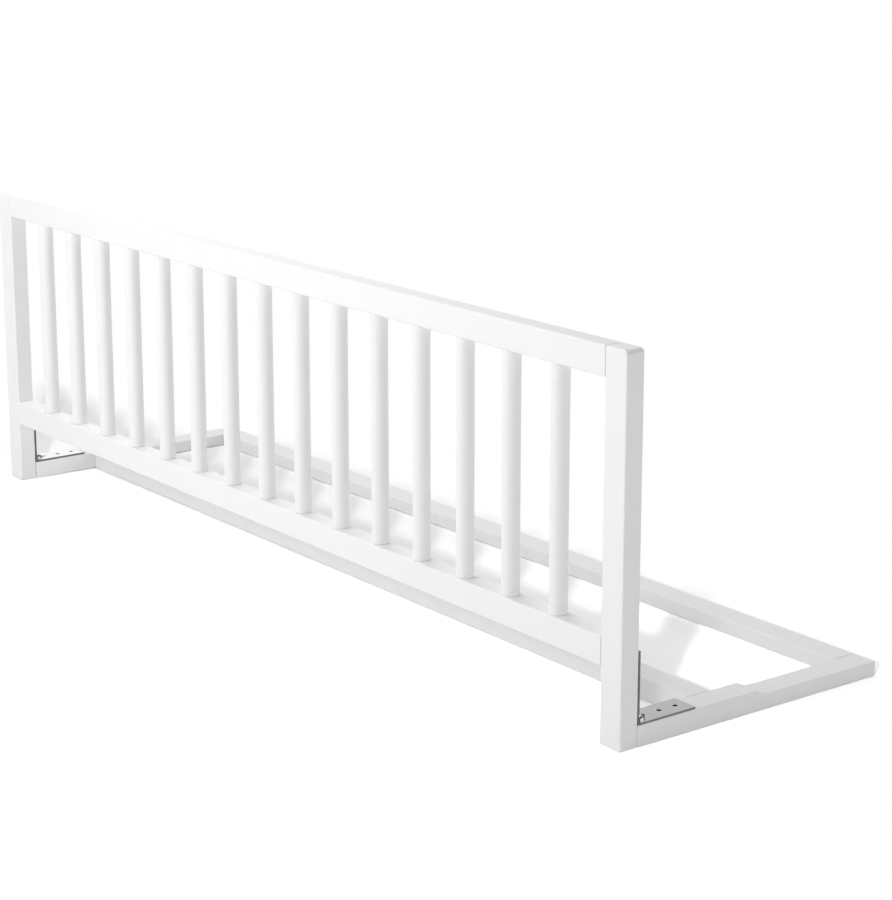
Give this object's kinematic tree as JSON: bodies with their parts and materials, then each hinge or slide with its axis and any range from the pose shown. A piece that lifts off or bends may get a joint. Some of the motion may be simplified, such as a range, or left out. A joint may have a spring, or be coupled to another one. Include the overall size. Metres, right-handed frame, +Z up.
{
  "type": "folding bed guard rail",
  "caption": "Low white wooden railing with round spindles, hinged at its feet to a flat base frame that slides under a mattress; the railing folds back over the base.",
  "frame": {"origin": "on the floor plane, under the centre of the bounding box", "axes": "+X along the guard towards its right post as seen from the front, +Y from the railing back over the base frame, +Z up"},
  "size_m": [1.202, 0.336, 0.374],
  "materials": {
    "painted_wood": "satin white paint over smooth solid wood",
    "hinge_steel": "satin zinc-plated steel",
    "bare_wood": "plain unpainted hardwood"
  },
  "bodies": {
    "base_frame": {"left_arm": "painted_wood", "right_arm": "painted_wood", "front_batten": "painted_wood", "rear_batten": "painted_wood", "left_hinge_base_leaf": "hinge_steel", "left_hinge_pin": "hinge_steel", "left_hinge_base_screw_1": "hinge_steel", "left_hinge_base_screw_2": "hinge_steel", "left_hinge_base_screw_3": "hinge_steel", "left_front_batten_peg_1": "bare_wood", "left_front_batten_peg_2": "bare_wood", "left_rear_batten_peg_1": "bare_wood", "left_rear_batten_peg_2": "bare_wood", "right_hinge_base_leaf": "hinge_steel", "right_hinge_pin": "hinge_steel", "right_hinge_base_screw_1": "hinge_steel", "right_hinge_base_screw_2": "hinge_steel", "right_hinge_base_screw_3": "hinge_steel", "right_front_batten_peg_1": "bare_wood", "right_front_batten_peg_2": "bare_wood", "right_rear_batten_peg_1": "bare_wood", "right_rear_batten_peg_2": "bare_wood"},
    "railing": {"left_post": "painted_wood", "right_post": "painted_wood", "top_rail": "painted_wood", "bottom_rail": "painted_wood", "spindle_01": "painted_wood", "spindle_02": "painted_wood", "spindle_03": "painted_wood", "spindle_04": "painted_wood", "spindle_05": "painted_wood", "spindle_06": "painted_wood", "spindle_07": "painted_wood", "spindle_08": "painted_wood", "spindle_09": "painted_wood", "spindle_10": "painted_wood", "spindle_11": "painted_wood", "spindle_12": "painted_wood", "spindle_13": "painted_wood", "spindle_14": "painted_wood", "spindle_15": "painted_wood", "left_hinge_post_leaf": "hinge_steel", "left_hinge_post_screw_1": "hinge_steel", "left_hinge_post_screw_2": "hinge_steel", "left_hinge_post_screw_3": "hinge_steel", "left_top_rail_peg_1": "bare_wood", "left_top_rail_peg_2": "bare_wood", "left_bottom_rail_peg_1": "bare_wood", "left_bottom_rail_peg_2": "bare_wood", "right_hinge_post_leaf": "hinge_steel", "right_hinge_post_screw_1": "hinge_steel", "right_hinge_post_screw_2": "hinge_steel", "right_hinge_post_screw_3": "hinge_steel", "right_top_rail_peg_1": "bare_wood", "right_top_rail_peg_2": "bare_wood", "right_bottom_rail_peg_1": "bare_wood", "right_bottom_rail_peg_2": "bare_wood"}
  },
  "joints": [
    {"name": "railing_fold", "type": "hinge", "parent": "base_frame", "child": "railing", "pos_m": [0, -0.14225, 0.02625], "axis": [1, 0, 0], "range_deg": [-92.5, 0]}
  ]
}
